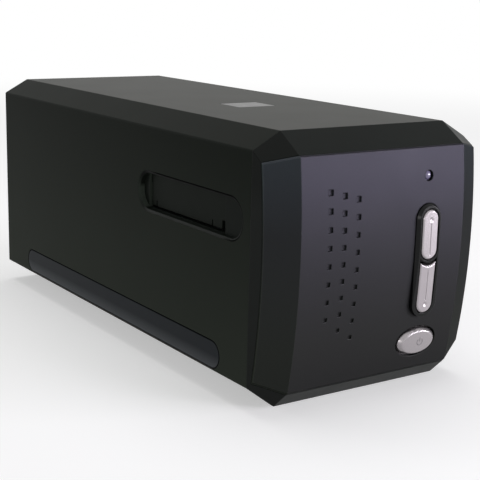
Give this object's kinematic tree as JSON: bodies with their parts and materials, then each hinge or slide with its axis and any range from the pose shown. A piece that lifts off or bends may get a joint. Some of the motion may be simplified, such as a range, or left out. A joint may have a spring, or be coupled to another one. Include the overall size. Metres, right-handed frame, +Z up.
{
  "type": "film negative scanner",
  "caption": "Desktop film negative scanner: long eight-sided black housing, bowed plum-grey face with silver buttons, sprung dust doors over a film slot, belt-driven scan carriage inside",
  "frame": {"origin": "on the surface that the feet stand on, under the middle of the body", "axes": "+X right side seen from the front, -Y front face with the buttons, +Y rear panel, +Z up"},
  "size_m": [0.116, 0.2743, 0.119],
  "materials": {
    "shell": "fine-grained black moulding",
    "bezel": "smooth black moulding",
    "face_paint": "metallic plum-grey lacquer",
    "button_silver": "satin silver lacquer",
    "badge": "matt grey plate, bare",
    "rubber": "black rubber",
    "steel": "drawn or plated steel",
    "switch": "switch housings",
    "light": "unlit tinted lens",
    "board": "green circuit board",
    "chassis": "grey structural moulding",
    "optics_black": "dull black against stray light",
    "bronze": "sintered bronze or brass",
    "diffuser": "white diffusing sheet",
    "mirror": "front-coated mirror",
    "lens": "coated lens",
    "sensor": "sensor package",
    "acetal": "natural acetal",
    "motor": "zinc-plated motor can"
  },
  "bodies": {
    "housing": {"base_tray": "shell", "housing_cover": "shell", "rear_panel": "shell", "front_bezel": "bezel", "front_panel": "face_paint", "button_surround": "bezel", "left_slot_frame": "shell", "right_slot_frame": "shell", "left_hinge_pin": "steel", "right_hinge_pin": "steel", "left_door_spring": "steel", "right_door_spring": "steel", "left_grip_inlay": "face_paint", "right_grip_inlay": "face_paint", "top_badge_plate": "badge", "rubber_feet": "rubber", "case_screws": "steel", "rear_screws": "steel", "power_light": "light", "button_board": "board", "button_switches": "switch", "chassis": "chassis", "film_guide": "chassis", "detent_pin": "steel", "detent_spring": "steel", "left_guide_rod": "steel", "right_guide_rod": "steel", "drive_belt": "rubber", "drive_axle": "steel", "idler_bracket": "steel", "tension_spring": "steel", "motor_bracket": "steel", "stepper_motor": "motor", "home_sensor": "bezel", "main_board": "board", "board_screws": "steel", "usb_socket": "steel", "power_socket": "bezel"},
    "left_door": {"left_dust_door": "bezel"},
    "right_door": {"right_dust_door": "bezel"},
    "upper_button": {"upper_scan_button": "button_silver"},
    "lower_button": {"lower_scan_button": "button_silver"},
    "power_key": {"power_button": "button_silver"},
    "detent": {"detent_lever": "chassis"},
    "carriage": {"carriage_tub": "optics_black", "carriage_lid": "optics_black", "carriage_bushes": "bronze", "lamp_arm": "optics_black", "lamp_board": "board", "lamp_diffuser": "diffuser", "fold_mirror": "mirror", "lens_barrel": "optics_black", "lens_glass": "lens", "sensor_board": "board", "image_sensor": "sensor"},
    "pulley": {"drive_pulley": "acetal"},
    "idler": {"idler_pulley": "acetal"},
    "rotor": {"motor_shaft": "steel", "motor_pinion": "bronze"}
  },
  "joints": [
    {"name": "left_door_hinge", "type": "hinge", "parent": "housing", "child": "left_door", "pos_m": [-0.0522, -0.0643, 0.0871], "axis": [0, -1, 0], "range_deg": [-80, 80], "stiffness_Nm_per_rad": 0.004},
    {"name": "right_door_hinge", "type": "hinge", "parent": "housing", "child": "right_door", "pos_m": [0.0522, -0.0643, 0.0871], "axis": [0, 1, 0], "range_deg": [-80, 80], "stiffness_Nm_per_rad": 0.004},
    {"name": "upper_button_press", "type": "slide", "parent": "housing", "child": "upper_button", "axis": [0, 1, 0], "range_m": [0, 0.0008], "stiffness_N_per_m": 400},
    {"name": "lower_button_press", "type": "slide", "parent": "housing", "child": "lower_button", "axis": [0, 1, 0], "range_m": [0, 0.0008], "stiffness_N_per_m": 400},
    {"name": "power_button_press", "type": "slide", "parent": "housing", "child": "power_key", "axis": [0, 1, 0], "range_m": [0, 0.0008], "stiffness_N_per_m": 400},
    {"name": "detent_swing", "type": "hinge", "parent": "housing", "child": "detent", "pos_m": [0.018, -0.02555, 0.0785], "axis": [0, 0, -1], "range_deg": [0, 5], "stiffness_Nm_per_rad": 0.05},
    {"name": "carriage_slide", "type": "slide", "parent": "housing", "child": "carriage", "axis": [0, -1, 0], "range_m": [0, 0.032]},
    {"name": "pulley_turn", "type": "hinge", "parent": "housing", "child": "pulley", "pos_m": [0, 0.08, 0.011], "axis": [0, 0, -1], "range_deg": [0, 245]},
    {"name": "idler_turn", "type": "hinge", "parent": "housing", "child": "idler", "pos_m": [0, -0.094, 0.016], "axis": [0, 0, -1], "range_deg": [0, 245]},
    {"name": "rotor_turn", "type": "hinge", "parent": "housing", "child": "rotor", "pos_m": [0, 0.0996, 0.011], "axis": [0, 0, 1], "range_deg": [0, 735]}
  ],
  "couplings": [
    {"joint": "pulley_turn", "follows": "carriage_slide", "rad_per_m": 131.58},
    {"joint": "idler_turn", "follows": "carriage_slide", "rad_per_m": 131.58},
    {"joint": "rotor_turn", "follows": "carriage_slide", "rad_per_m": 394.74}
  ]
}
